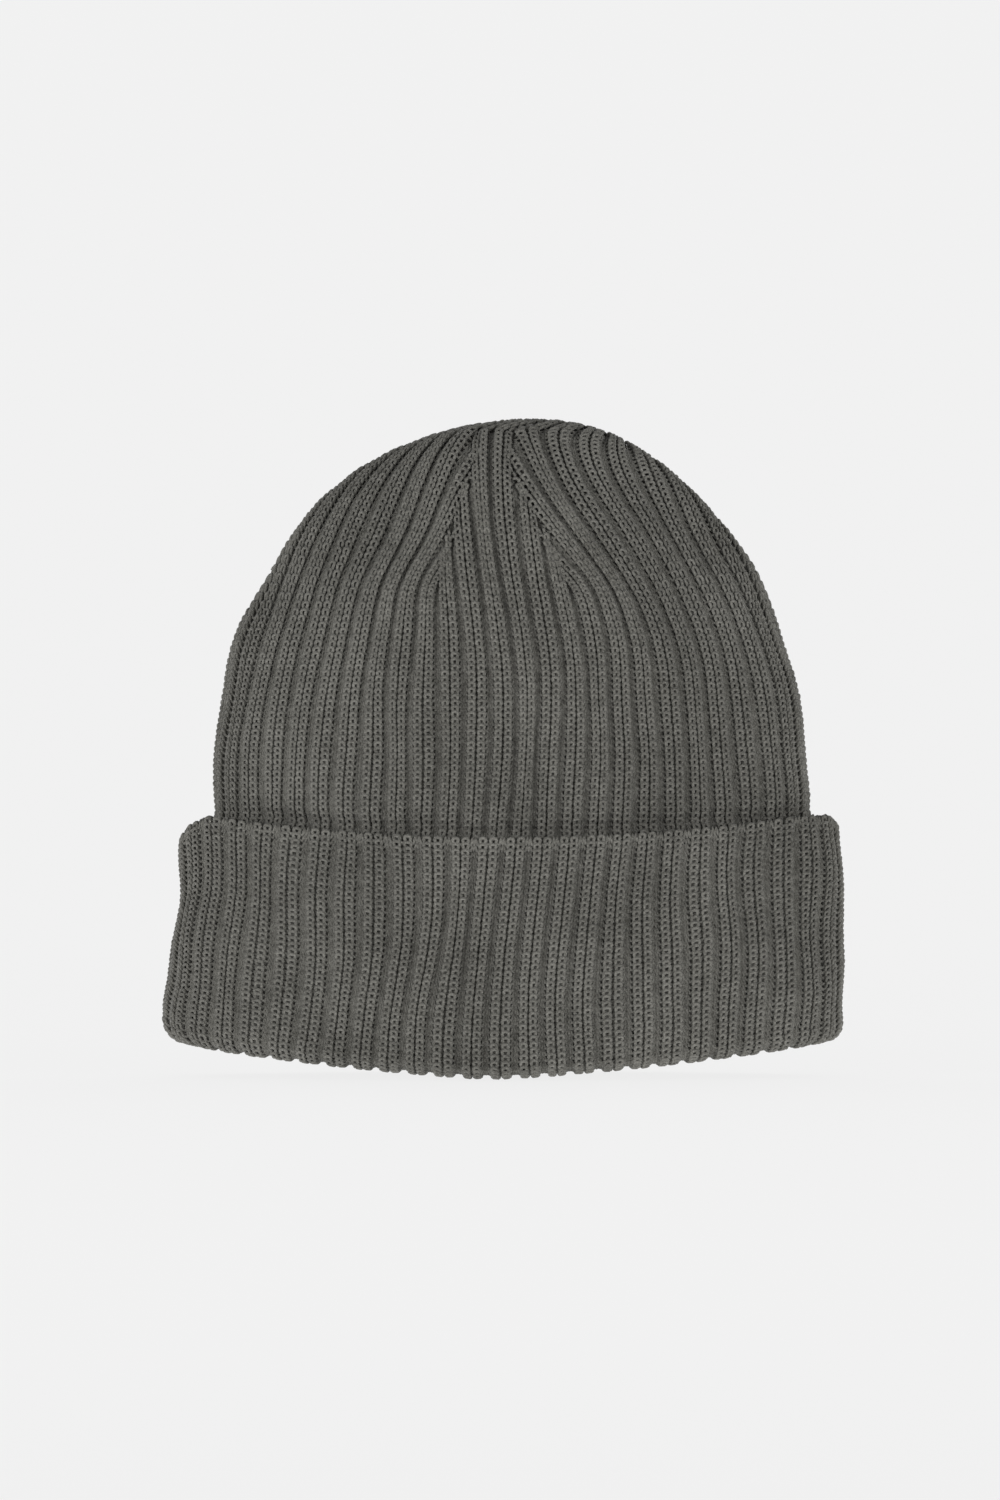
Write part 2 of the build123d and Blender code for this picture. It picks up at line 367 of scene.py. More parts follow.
# ---------------------------------------------------------------- unevenness
def make_waves(count, shortest, longest, most_turns):
    """Long waves over the fabric: length along the ribs, waves per quarter of the hat, and start."""
    return [(random.uniform(shortest, longest), random.integers(-most_turns, most_turns + 1) / 4,
             random.uniform(0, 2 * pi)) for _ in range(count)]


SWAY_WAVES = make_waves(count=6, shortest=80 * MM, longest=190 * MM, most_turns=5)
PUCKER_WAVES = make_waves(count=9, shortest=28 * MM, longest=95 * MM, most_turns=14)
RIB_SHIFTS = random.normal(0, RIB_DRIFT, (RIBS, DRIFT_LEVELS))


def add_waves(waves, quarters, level, phase=0.0):
    total = 0 * (quarters + level)
    for length, turns, start in waves:
        total = total + np.sin(2 * pi * (level / length + quarters * turns) + start + phase)
    return total


def puckers(quarters, level, phase=0.0):
    """Soft hollows and swells of the fabric, as depth below its plain form."""
    loose = 1 - PUCKER_LOSS_TOP * smooth_step((level - PUCKER_FADE) / PUCKER_FADE_RUN)
    loose = loose * (1 - PUCKER_LOSS_SIDE * fold_round(quarters, 4)[1] ** 4)
    return PUCKER_SIZE * loose * add_waves(PUCKER_WAVES, quarters, level, phase)


def uneven_ribs(place, level):
    """Moves each rib a little towards one neighbour or the other, changing slowly with height."""
    row = np.clip(level / TOP, 0, 0.999) * (RIB_SHIFTS.shape[1] - 1)
    low = np.floor(row).astype(int)
    up = smooth_step(row - low)
    rib = np.floor(place).astype(int)
    between = place - rib
    first, second = rib % RIBS, (rib + 1) % RIBS
    here = RIB_SHIFTS[first, low] * (1 - up) + RIB_SHIFTS[first, low + 1] * up
    there = RIB_SHIFTS[second, low] * (1 - up) + RIB_SHIFTS[second, low + 1] * up
    return place + here * (1 - between) + there * between


# ---------------------------------------------------------------- the crown's map of ribs and courses
wall_levels = np.linspace(crown_low.z, DOME_BASE, WALL_LEVELS)
dome_climb = np.sin(np.linspace(0, pi / 2, LEVELS - WALL_LEVELS + 1))[1:] ** LEVEL_SPREAD
heights = np.concatenate([wall_levels, DOME_BASE + (TOP - DOME_BASE - TOP_GAP) * dome_climb])
quarter = quarter_length(*crown_section(heights))
width_slope = np.gradient(crown_section(heights)[0], heights)
depth_slope = np.gradient(crown_section(heights)[1], heights)
RIDGE_LEVEL = int(np.argmin(np.abs(heights - RIDGE_START)))


def crown_surface(quarters, height):
    """Points and outward normals of the crown, with the fabric's drift to the sides. Inside the cuff
    the courses come to follow the hem."""
    local = np.interp(height, heights, quarter)
    climb = crown_climb(height)
    top_shift = TOP_SHIFT * climb**TOP_SHIFT_POWER
    _, folded, back = fold_round(quarters, 4)
    petal = PETAL_SWAY * smooth_step((height - LEAN_START) / PETAL_SWAY_RUN) + top_shift
    petal = np.minimum(petal, PETAL_SWAY_LIMIT * local) * (1 - folded**2)
    drift = SWAY_SIZE * np.clip(local / SWAY_ROOM, 0, 1) * add_waves(SWAY_WAVES, quarters, height)
    moved = quarters + (drift + np.where(back, petal, -petal)) / local
    x, y, out_x, out_y = oval(moved, *crown_section(height))
    width_fall = out_x**2 * np.interp(height, heights, width_slope)
    fall = width_fall + out_y**2 * np.interp(height, heights, depth_slope)
    hidden = np.clip((CUFF_HEIGHT - height) / (CUFF_HEIGHT - crown_low.z), 0, 1)
    x = x + CROWN_SHIFT + top_shift
    points = np.stack([x, y, height + hidden * hem_height(x)], -1)
    return points, unit(np.stack([out_x, out_y, -fall], -1))


def rib_pitch(height):
    """Rib spacing at the front's middle."""
    wall = np.interp(height, heights, quarter) / QUARTER
    dome = RIB_PITCH * (1 - PITCH_LOSS * smooth_step((height - DOME_BASE) / PITCH_RUN))
    return np.where(height < DOME_BASE, wall, dome)


def dart_distance(height):
    """Arc distance from the front's middle to the dart line."""
    at_start = DART_RIB * rib_pitch(np.asarray(DART_START))
    above = np.maximum(at_start - DART_SLOPE * (height - DART_START), DART_END)
    line = np.where(height > DART_START, above, DART_RIB * rib_pitch(height))
    return np.minimum(line, DART_END_SHARE * np.interp(height, heights, quarter))


def drawn_ribs(ribs, dart_lean):
    """Arc distance from the front's middle to each rib at every level, drawn from the wall upwards."""
    pitch = rib_pitch(heights)
    share = np.abs(ribs / QUARTER)[:, None]
    arc = pitch * ribs[:, None] - (QUARTER * pitch - quarter) * share**1.5
    rate = np.gradient(arc, heights, axis=1)
    for level in range(int(np.searchsorted(heights, LEAN_START)), LEVELS):
        height = heights[level]
        before = arc[:, level - 1]
        released = smooth_step((height - LEAN_START) / LEAN_RUN)
        pulled = smooth_step((height - DART_PULL_START) / DART_PULL_RUN) * dart_lean
        to_dart = np.maximum(before - dart_distance(height), 0)
        lean = SIDE_LEAN * np.clip((before - STRAIGHT_REACH) / LEAN_REACH, 0, 1)
        lean = lean + pulled * np.exp(-to_dart / DART_LEAN_REACH)
        step = height - heights[level - 1]
        arc[:, level] = before + step * ((1 - released) * rate[:, level] - released * lean)
    return arc


side_excess = drawn_ribs(np.array([QUARTER]), 0.0)[0] - quarter
side_excess[RIDGE_LEVEL:] = side_excess[RIDGE_LEVEL]


def rib_arcs(ribs, dart_lean):
    """The drawn ribs, with the side rib kept on the side up to where the ridge seam starts."""
    return drawn_ribs(ribs, dart_lean) - side_excess * (ribs[:, None] / QUARTER) ** 4


def seam_valley(arc, level):
    """How far the fabric dips at a place: arc is the distance from the front's or the back's middle."""
    dart = smooth_step((level - DART_VALLEY_START) / DART_VALLEY_RUN)
    ridge = smooth_step((level - RIDGE_VALLEY_START) / RIDGE_VALLEY_RUN)
    to_dart = (arc - dart_distance(level)) / VALLEY_WIDTH
    to_ridge = (np.interp(level, heights, quarter) - arc) / VALLEY_WIDTH
    ridge_dip = RIDGE_VALLEY_SHARE * ridge * np.exp(-(to_ridge**2))
    return VALLEY_DEPTH * (dart * np.exp(-(to_dart**2)) + ridge_dip)


def walked(points):
    """Length walked along each row of points."""
    steps = np.linalg.norm(np.diff(points, axis=-2), axis=-1)
    return np.concatenate([np.zeros(steps.shape[:-1] + (1,)), np.cumsum(steps, axis=-1)], axis=-1)


def plain_points(quarters, height):
    """The crown's form without the fabric's drift, for measuring along it."""
    x, y, _, _ = oval(quarters, *crown_section(height))
    return np.stack([x, y, height + 0 * x], -1)


front_walk = walked(plain_points(np.zeros(LEVELS), heights))
WALK_START = np.interp(RIDGE_START, heights, front_walk)
fine_walk = np.arange(0, front_walk[-1] + WALK_SPARE, WALK_STEP)
stretch_start = np.interp(LEAN_START, heights, front_walk)
stretch = 1 + DOME_STRETCH * smooth_step((fine_walk - stretch_start) / STRETCH_RUN)
course_numbers = np.cumsum(WALK_STEP / (COURSE * stretch)) - FIRST_WALK / COURSE


def course_walk(course):
    """Walked length at a course number, which needn't be whole."""
    return np.interp(course, course_numbers, fine_walk)


class Panel:
    """A stretch of fabric as a table over ribs, counted round the hat, and walked length."""

    def __init__(self, local_ribs, walks, level, local_arc, to_edge, facing):
        # local ribs and arcs are counted from the front's or the back's middle, to the right
        quarters = local_arc / np.interp(level, heights, quarter)
        ribs = local_ribs
        if facing < 0:
            ribs, quarters = RIBS / 2 - ribs, 2 - quarters
        order = slice(None) if ribs[1] > ribs[0] else slice(None, None, -1)
        self.ribs, self.walks = ribs[order], walks
        self.level = level[order]
        self.inside = np.where(level < heights[-1] - PANEL_TOP_GAP, to_edge, -1)[order]
        self.points, self.normals = crown_surface(quarters[order], self.level)
        self.dip = (seam_valley(np.abs(local_arc), level) + puckers(quarters, level))[order]

    def look_up(self, table, rib, walk):
        return read_table(table, (rib - self.ribs[0]) / (self.ribs[1] - self.ribs[0]), walk / WALK_STEP)


def petal_panel(facing):
    """The narrow panel between the two darts. facing is 1 for the front and -1 for the back."""
    half = np.linspace(0, DART_RIB + 1, PETAL_COLUMNS)
    walks = np.arange(0, front_walk[-1], WALK_STEP)
    level = np.interp(walks, front_walk, heights)
    right_arc = np.stack([np.interp(level, heights, row) for row in rib_arcs(half, 0.0)])
    ribs = np.concatenate([-half[:0:-1], half])
    arc = np.concatenate([-right_arc[:0:-1], right_arc])
    level = level[None, :] + 0 * arc
    return Panel(ribs, walks, level, arc, dart_distance(level) - np.abs(arc), facing)


def side_levels(ribs, arcs, walks):
    """Level of every course of a side panel on every rib: the courses tilt towards square with the ribs."""
    grid = plain_points(arcs / quarter, heights[None, :] + 0 * arcs)
    middle = int(np.argmin(np.abs(ribs - WALK_RIB)))
    rib_walk = walked(grid[middle])
    rib_walk = rib_walk - rib_walk[RIDGE_LEVEL] + front_walk[RIDGE_LEVEL]
    step = ribs[1] - ribs[0]
    up = np.gradient(grid, axis=1) / np.gradient(heights)[None, :, None]
    across = np.gradient(grid, axis=0) / step
    slope = -(across * up).sum(-1) / (up * up).sum(-1)
    tilt = COURSE_TILT * smooth_step((walks - WALK_START) / TILT_RUN)
    level = np.zeros((len(ribs), len(walks)))
    below, above = np.interp(walks, front_walk, heights), np.interp(walks, rib_walk, heights)
    level[middle] = np.where(walks < WALK_START, below, above)
    for column in range(middle + 1, len(ribs)):
        before = level[column - 1]
        level[column] = before + tilt * step * np.interp(before, heights, slope[column - 1])
    for column in range(middle - 1, -1, -1):
        before = level[column + 1]
        level[column] = before - tilt * step * np.interp(before, heights, slope[column + 1])
    return np.clip(level, heights[0], heights[-1])


def side_panel(facing, side):
    """The panel from a dart to the top ridge. side is 1 at +X and -1 at -X."""
    ribs = np.linspace(DART_RIB - SIDE_SPARE, QUARTER + 1, SIDE_COLUMNS)
    arcs = rib_arcs(ribs, DART_LEAN)
    level = side_levels(ribs, arcs, fine_walk)
    arc = np.stack([np.interp(level[i], heights, arcs[i]) for i in range(len(ribs))])
    to_edge = np.minimum(arc - dart_distance(level), np.interp(level, heights, quarter) - arc)
    return Panel(side * ribs, fine_walk, level, side * arc, to_edge, facing)


# ---------------------------------------------------------------- yarn
def rib_loops():
    """One rib of a course: place along it in ribs, reach in courses, depth, and a steady counter."""
    trough_share = 1 - 2 * WALE_SHARE
    place, reach, depth, counter = [], [], [], []
    turn = np.linspace(-pi, pi, KNIT_POINTS, endpoint=False)
    for middle in (-WALE_SHARE / 2, WALE_SHARE / 2):
        even = middle + WALE_SHARE * turn / (2 * pi)
        at = even + KNIT_SWING * np.sin(2 * turn)
        foot = ((1 - np.cos(turn)) / 2) ** 2
        place.append(at)
        counter.append(even)
        reach.append(KNIT_REACH * np.cos(turn))
        rounding = RIB_ROUNDING * (at / WALE_SHARE) ** 2
        depth.append(FACE_DEPTH + FACE_SWAY * np.cos(2 * turn) + FOOT_DEPTH * foot + rounding)
    turn = np.linspace(-pi, pi, PURL_POINTS, endpoint=False)
    for middle in (WALE_SHARE + trough_share / 4, WALE_SHARE + 3 * trough_share / 4):
        even = middle + trough_share / 2 * turn / (2 * pi)
        place.append(even)
        counter.append(even)
        reach.append(PURL_REACH * np.cos(turn))
        depth.append(TROUGH_DEPTH - TROUGH_SWAY * np.cos(2 * turn))
    return [np.concatenate(part) for part in (place, reach, depth, counter)]


LOOP_PLACE, LOOP_REACH, LOOP_DEPTH, LOOP_COUNTER = rib_loops()


def course_yarn(first_rib, last_rib, rib_start):
    """Yarn of a course between two ribs, a little uneven as real knitting is."""
    numbers = np.arange(np.floor(first_rib - rib_start) - 1, np.ceil(last_rib - rib_start) + 2) + rib_start
    counter = (numbers[:, None] + LOOP_COUNTER[None, :]).ravel()
    keep = (counter >= first_rib) & (counter < last_rib)
    counter = counter[keep]
    place = (numbers[:, None] + LOOP_PLACE[None, :]).ravel()[keep]
    reach = np.tile(LOOP_REACH, len(numbers))[keep]
    depth = np.tile(LOOP_DEPTH, len(numbers))[keep]
    knots = np.arange(first_rib - 1, last_rib + 1, UNEVEN_STEP)

    def uneven(size):
        return np.interp(counter, knots, random.normal(0, size, len(knots)))

    place = place + uneven(UNEVEN_PLACE)
    reach = reach * (1 + uneven(UNEVEN_REACH)) + uneven(UNEVEN_HEIGHT)
    flatness = SIDE_FLATNESS * fold_round(place, RIBS)[1] / QUARTER
    return place, reach, depth + flatness * (FLAT_DEPTH - depth) + uneven(UNEVEN_DEPTH)


def tube(path, normals, radius, closed):
    """Vertices, faces and end caps of a round yarn along a path."""
    if closed:
        tangent = np.roll(path, -1, axis=0) - np.roll(path, 1, axis=0)
    else:
        tangent = np.gradient(path, axis=0)
    side = unit(np.cross(unit(tangent), normals))
    out = np.cross(side, unit(tangent))
    angle = np.arange(YARN_SIDES) * 2 * pi / YARN_SIDES
    ring = np.cos(angle)[None, :, None] * out[:, None, :] + np.sin(angle)[None, :, None] * side[:, None, :]
    vertices = (path[:, None, :] + radius * ring).reshape(-1, 3)
    count = len(path)
    along = np.arange(count if closed else count - 1)[:, None]
    around = np.arange(YARN_SIDES)[None, :]
    next_along, next_around = (along + 1) % count, (around + 1) % YARN_SIDES
    corners = (along * YARN_SIDES + around, along * YARN_SIDES + next_around,
               next_along * YARN_SIDES + next_around, next_along * YARN_SIDES + around)
    quads = np.stack(corners, -1).reshape(-1, 4)
    if closed:
        return vertices, quads, []
    last = (count - 1) * YARN_SIDES
    return vertices, quads, [list(range(YARN_SIDES))[::-1], list(range(last, last + YARN_SIDES))]


class Cloth:
    """Gathers yarns and skins and writes them as one mesh. A piece that blends between bodies has no body."""

    def __init__(self):
        self.vertices, self.quads, self.caps, self.count, self.rows = [], [], [], 0, 0

    def add(self, vertices, quads, caps=()):
        self.vertices.append(vertices)
        self.quads.append(quads + self.count)
        self.caps += [[index + self.count for index in cap] for cap in caps]
        self.count += len(vertices)
        self.rows += 1

    def write(self, name, material, body, slot, *nodes):
        vertices = np.concatenate(self.vertices).astype(np.float32)
        quads = np.concatenate(self.quads)
        cap_corners = np.array([index for cap in self.caps for index in cap], int)
        cap_sizes = np.array([len(cap) for cap in self.caps], int)
        corners = np.concatenate([quads.ravel(), cap_corners]).astype(np.int32)
        cap_starts = quads.size + np.cumsum(cap_sizes) - cap_sizes
        starts = np.concatenate([np.arange(0, quads.size, 4), cap_starts]).astype(np.int32)
        mesh = bpy.data.meshes.new(name)
        mesh.vertices.add(len(vertices))
        mesh.vertices.foreach_set("co", vertices.ravel())
        mesh.loops.add(len(corners))
        mesh.loops.foreach_set("vertex_index", corners)
        mesh.polygons.add(len(starts))
        mesh.polygons.foreach_set("loop_start", starts)
        mesh.polygons.foreach_set("use_smooth", np.ones(len(starts), bool))
        mesh.update(calc_edges=True)
        mesh.materials.append(material)
        piece = bpy.data.objects.new(name, mesh)
        bpy.context.collection.objects.link(piece)
        if body:
            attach(piece, body)
        if nodes:
            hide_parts(*nodes)
        return piece


ring_ribs = np.linspace(0, QUARTER, RING_COLUMNS)
ring_arcs = rib_arcs(ring_ribs, 0.0)


def ring_quarters(place, level):
    """Where a rib runs at a height below the darts, in quarters round the hat."""
    signed, folded, back = fold_round(place, RIBS)
    arc = read_table(ring_arcs, folded / ring_ribs[1], np.interp(level, heights, np.arange(LEVELS)))
    share = arc / np.interp(level, heights, quarter)
    return unfold(signed, back, share)


def cuff_grip(points):
    """How far the cuff's edge presses into the crown."""
    above = points[..., 2] - cuff_top_height(points[..., 0]) - GRIP_HEIGHT
    tight = 1 - GRIP_LOSS * smooth_step((np.abs(points[..., 0]) - GRIP_END) / GRIP_FADE)
    return GRIP_DEPTH * tight * np.exp(-((above / GRIP_WIDTH) ** 2))


def ring_course(cloth, course):
    """A whole course below the seams."""
    place, reach, depth = course_yarn(-RIBS / 2, RIBS / 2, CROWN_RIB_START)
    level = np.interp(course_walk(course + reach), front_walk, heights)
    quarters = ring_quarters(uneven_ribs(place, level), level)
    points, normals = crown_surface(quarters, level)
    depth = depth + puckers(quarters, level) + cuff_grip(points)
    cloth.add(*tube(points - normals * depth[:, None], normals, YARN_RADIUS, True))


def panel_course(cloth, panel, course):
    """One course of a panel, from one of its seams to the other."""
    row = np.full(len(panel.ribs), course_walk(course))
    inside = panel.look_up(panel.inside, panel.ribs, row) > -PANEL_OVERLAP
    if inside.sum() < FEWEST_COLUMNS:
        return
    place, reach, depth = course_yarn(panel.ribs[inside].min(), panel.ribs[inside].max(), CROWN_RIB_START)
    at = course_walk(course + reach)
    drifted = uneven_ribs(place, panel.look_up(panel.level, place, at))
    points = panel.look_up(panel.points, drifted, at)
    normals = panel.look_up(panel.normals, drifted, at)
    depth = depth + panel.look_up(panel.dip, drifted, at)
    cloth.add(*tube(points - normals * depth[:, None], normals, YARN_RADIUS, False))


# ---------------------------------------------------------------- materials
def new_material(name, roughness):
    material = bpy.data.materials.new(name)
    material.use_nodes = True
    shader = material.node_tree.nodes["Principled BSDF"]
    shader.inputs["Roughness"].default_value = roughness
    return material, material.node_tree.nodes, material.node_tree.links, shader


def add_noise(nodes, links, source, scale):
    noise = nodes.new("ShaderNodeTexNoise")
    noise.inputs["Scale"].default_value = scale
    noise.inputs["Detail"].default_value = 2.0
    links.new(source, noise.inputs["Vector"])
    return noise.outputs["Fac"]


def add_up(nodes, links, *parts):
    """Sum of outputs, each times its share. parts are (output, share)."""
    total = None
    for value, share in parts:
        node = nodes.new("ShaderNodeMath")
        node.operation = "MULTIPLY_ADD"
        links.new(value, node.inputs[0])
        node.inputs[1].default_value = share
        node.inputs[2].default_value = 0.0
        if total is not None:
            links.new(total, node.inputs[2])
        total = node.outputs[0]
    return total


def add_bump(nodes, links, shader, height, strength, distance):
    bump = nodes.new("ShaderNodeBump")
    bump.inputs["Strength"].default_value = strength
    bump.inputs["Distance"].default_value = distance
    links.new(height, bump.inputs["Height"])
    links.new(bump.outputs["Normal"], shader.inputs["Normal"])


def fibre_material(name, dark, light, sheen):
    """Heathered yarn: pale and dark fibres mixed, matte, with a soft bloom of loose fibre."""
    material, nodes, links, shader = new_material(name, 0.95)
    place = nodes.new("ShaderNodeTexCoord").outputs["Object"]
    strand = add_noise(nodes, links, place, 420)
    fibre = add_noise(nodes, links, place, 2400)
    cloud = add_noise(nodes, links, place, 28)
    mixed = add_up(nodes, links, (cloud, 0.22), (strand, 0.28), (fibre, 0.5))
    ramp = nodes.new("ShaderNodeValToRGB")
    ramp.color_ramp.elements[0].position = 0.36
    ramp.color_ramp.elements[0].color = (*dark, 1)
    ramp.color_ramp.elements[1].position = 0.64
    ramp.color_ramp.elements[1].color = (*light, 1)
    links.new(mixed, ramp.inputs["Fac"])
    links.new(ramp.outputs["Color"], shader.inputs["Base Color"])
    shader.inputs["Specular IOR Level"].default_value = 0.2
    shader.inputs["Sheen Weight"].default_value = sheen
    shader.inputs["Sheen Roughness"].default_value = 0.5
    add_bump(nodes, links, shader, fibre, 0.5, 0.2 * MM)
    return material


def satin_material(name, dark, light):
    """Woven tape: fine ribs across, with a slight sheen."""
    material, nodes, links, shader = new_material(name, 0.45)
    place = nodes.new("ShaderNodeTexCoord").outputs["Object"]
    weave = nodes.new("ShaderNodeTexWave")
    weave.bands_direction = "Z"
    weave.inputs["Scale"].default_value = 420
    weave.inputs["Distortion"].default_value = 0.6
    links.new(place, weave.inputs["Vector"])
    ramp = nodes.new("ShaderNodeValToRGB")
    ramp.color_ramp.elements[0].color = (*dark, 1)
    ramp.color_ramp.elements[1].color = (*light, 1)
    mixed = add_up(nodes, links, (weave.outputs["Fac"], 0.5), (add_noise(nodes, links, place, 160), 0.5))
    links.new(mixed, ramp.inputs["Fac"])
    links.new(ramp.outputs["Color"], shader.inputs["Base Color"])
    shader.inputs["Anisotropic"].default_value = 0.5
    add_bump(nodes, links, shader, weave.outputs["Fac"], 0.3, 0.1 * MM)
    return material


yarn = fibre_material("heather_yarn", (0.066, 0.064, 0.055), (0.232, 0.227, 0.205), 0.2)
# darker yarn colour: the seams' own colour, and on the linings painted shade in the holes and gaps between
# the stitches
seam_yarn = fibre_material("seam_yarn", (0.05, 0.048, 0.042), (0.15, 0.147, 0.132), 0.1)
satin = satin_material("label_satin", (0.60, 0.59, 0.56), (0.80, 0.79, 0.76))
thread = fibre_material("label_thread", (0.42, 0.41, 0.39), (0.66, 0.65, 0.62), 0.1)


# ---------------------------------------------------------------- the crown
def write_courses(stem, body, node, add_course, courses):
    """Writes courses as pieces of a few rows each. courses holds add_course's arguments for each."""
    cloth, written = Cloth(), 0
    for course in courses:
        add_course(cloth, *course)
        if cloth.rows == ROWS_PER_PIECE:
            written += 1
            cloth.write(f"{stem}_{written:02d}", yarn, body, "rib_knit", node)
            cloth = Cloth()
    if cloth.rows:
        cloth.write(f"{stem}_{written + 1:02d}", yarn, body, "rib_knit", node)


ring_courses = int(np.interp(WALK_START, fine_walk, course_numbers)) + 1
all_courses = int(course_numbers[-1])
write_courses("crown_knit", "crown", "knit_crown", ring_course, [(course,) for course in range(ring_courses)])


def panel_piece(panel, name):
    cloth = Cloth()
    for course in range(ring_courses, all_courses):
        if course_walk(course) < panel.walks[-1]:
            panel_course(cloth, panel, course)
    cloth.write(name, yarn, "crown", "rib_knit", "knit_crown")


for facing, face_name in FACES:
    panel_piece(petal_panel(facing), f"crown_{face_name}_petal")
    for side, side_name in SIDES:
        panel_piece(side_panel(facing, side), f"crown_{face_name}_{side_name}")

# ---------------------------------------------------------------- the cuff
def cuff_surface(rib, course):
    """Point and normal of the cuff's fabric: up the inside, round the fold, up the outside."""
    level = course * CUFF_COURSE
    signed, folded, back = fold_round(uneven_ribs(rib + QUARTER, level) - QUARTER, RIBS)
    folded_share = folded / QUARTER
    share = (1 - SIDE_CROWDING) * folded_share + SIDE_CROWDING * folded_share**3
    quarters = unfold(signed, back, share)
    quarters = quarters + SWAY_SIZE * add_waves(SWAY_WAVES, quarters, level, CUFF_SWAY_PHASE) / quarter[0]
    wall_share = np.clip((course - LIP_COURSES - FOLD_COURSES) / WALL_COURSES, 0, WALL_LIMIT)
    rough_height = wall_share * CUFF_HEIGHT
    x, y, out_x, out_y = oval(quarters, *cuff_section(rough_height))
    x = x + cuff_shift(rough_height)
    leftmost = np.clip(-x / CUFF_HEM_HALF_WIDTH, 0, 1) ** 4
    x = x + PINCH * leftmost * np.exp(-(((rough_height - PINCH_HEIGHT) / PINCH_REACH) ** 2))
    inner_size = [size - LINING_BACK for size in crown_section(np.asarray(LIP_HEIGHT))]
    inner_x, inner_y, _, _ = oval(quarters, *inner_size)
    fold_radius = np.hypot(x - inner_x - CROWN_SHIFT, y - inner_y) / 2
    turn = np.clip((course - LIP_COURSES) / FOLD_COURSES, 0, 1) * pi
    inset = fold_radius * (1 + np.cos(turn))
    hem, top = hem_height(x), cuff_top_height(x)
    lip = np.clip(LIP_COURSES - course, 0, None) * CUFF_COURSE
    fold_rise = (FOLD_FLATNESS + SIDE_FULLNESS * folded_share**2) * fold_radius
    low = hem + fold_rise * (1 - np.sin(turn)) + lip
    high = hem + fold_rise + wall_share * (top - hem - fold_rise)
    normals = unit(np.stack([-out_x * np.cos(turn), -out_y * np.cos(turn), -np.sin(turn) + 0 * out_x], -1))
    points = np.stack([x - out_x * inset, y - out_y * inset, np.where(wall_share > 0, high, low)], -1)
    swell = puckers(quarters, level, CUFF_PUCKER_PHASE) * smooth_step(wall_share / SWELL_RUN)
    return points - normals * swell[:, None], normals


def cuff_course(cloth, course, down, deeper):
    """A course of the cuff. The rows that finish its edge lie further down and deeper."""
    place, reach, depth = course_yarn(-RIBS / 2, RIBS / 2, CUFF_RIB_START)
    points, normals = cuff_surface(place, course + down + reach)
    flat = EDGE_FLATNESS * smooth_step((course - cuff_courses[-1]) / EDGE_FLAT_COURSES + 1)
    in_fold = np.clip((course - LIP_COURSES) / FOLD_COURSES, 0, 1)
    flat = flat + HEM_FLATNESS * sin(pi * in_fold) ** 2
    depth = np.minimum(depth + flat * (FLAT_DEPTH - depth) + deeper, LINING_DEPTH)
    cloth.add(*tube(points - normals * depth[:, None], normals, YARN_RADIUS, True))


cuff_courses = np.arange(0, CUFF_COURSES - 0.5)
cuff_rows = [(course, 0.0, 0.0) for course in cuff_courses]
cuff_rows += [(cuff_courses[-1], down, deeper) for down, deeper in EDGE_ROWS]
write_courses("cuff_knit", "cuff", "turn_up_cuff", cuff_course, cuff_rows)


# ---------------------------------------------------------------- linings, under the yarn, darker as painted shade in the gaps between stitches
def skin(rings):
    """Quads between each ring of points and the next."""
    count = rings.shape[1]
    index = np.arange(len(rings) * count).reshape(len(rings), count)
    low, high = index[:-1], index[1:]
    return np.stack([low, np.roll(low, -1, axis=1), np.roll(high, -1, axis=1), high], -1).reshape(-1, 4)


around = np.linspace(-2, 2, AROUND_HAT, endpoint=False)
around_ribs = around * QUARTER


def crown_ring(level, inset, relief):
    """One ring of the crown's lining, dipping with the fabric. relief lifts the ribs that show inside."""
    height = np.full(AROUND_HAT, level)
    ribbed = relief * smooth_step((RIDGE_START - level) / RELIEF_FADE)
    quarters = ring_quarters(around_ribs, height) if level < RIDGE_START else around
    points, normals = crown_surface(quarters, height)
    reach = np.interp(level, heights, quarter)
    folded = fold_round(quarters, 4)[1]
    arc = folded * reach
    crest = smooth_step((level - RIDGE_START) / RIDGE_VALLEY_RUN)
    crest = crest * np.exp(-(((reach - arc) / RIDGE_REACH) ** 2))
    depth = inset + seam_valley(arc, height) + puckers(quarters, height) - RIDGE_FILL * crest
    depth = depth - SIDE_FILL * folded**SIDE_FILL_POWER * (1 - crest)
    depth = depth + ribbed * np.cos(2 * pi * around_ribs) + cuff_grip(points)
    return points - normals * depth[:, None]


def sleeve(outer, inner):
    """Vertices and quads of a thin closed wall between two stacks of rings, for a cloth."""
    rings = np.array(outer + inner[::-1] + outer[:1])
    quads = skin(rings)
    count = len(outer + inner) * AROUND_HAT
    return rings[:-1].reshape(-1, 3), np.where(quads >= count, quads - count, quads)


def line_crown():
    """A skin up the outside and one up the inside. They meet at the hem, and each has a cap at its top."""
    levels = np.concatenate([np.linspace(crown_low.z + 1 * MM, DOME_BASE, CROWN_WALL_RINGS),
                             heights[WALL_LEVELS::4]])
    outer = np.array([crown_ring(level, LINING_DEPTH, 0) for level in levels])
    inner = np.array([crown_ring(level, LINING_BACK, LINING_RELIEF) for level in levels])
    rings = np.concatenate([outer[::-1], inner])
    last = (len(rings) - 1) * AROUND_HAT
    cloth = Cloth()
    cloth.add(rings.reshape(-1, 3), skin(rings)[:, ::-1],
              [list(range(AROUND_HAT)), list(range(last, last + AROUND_HAT))[::-1]])
    # the lining's darker colour is painted shade, seen through the holes and gaps between the stitches
    cloth.write("crown_lining_painted_shade", seam_yarn, "crown", "rib_knit", "knit_crown")


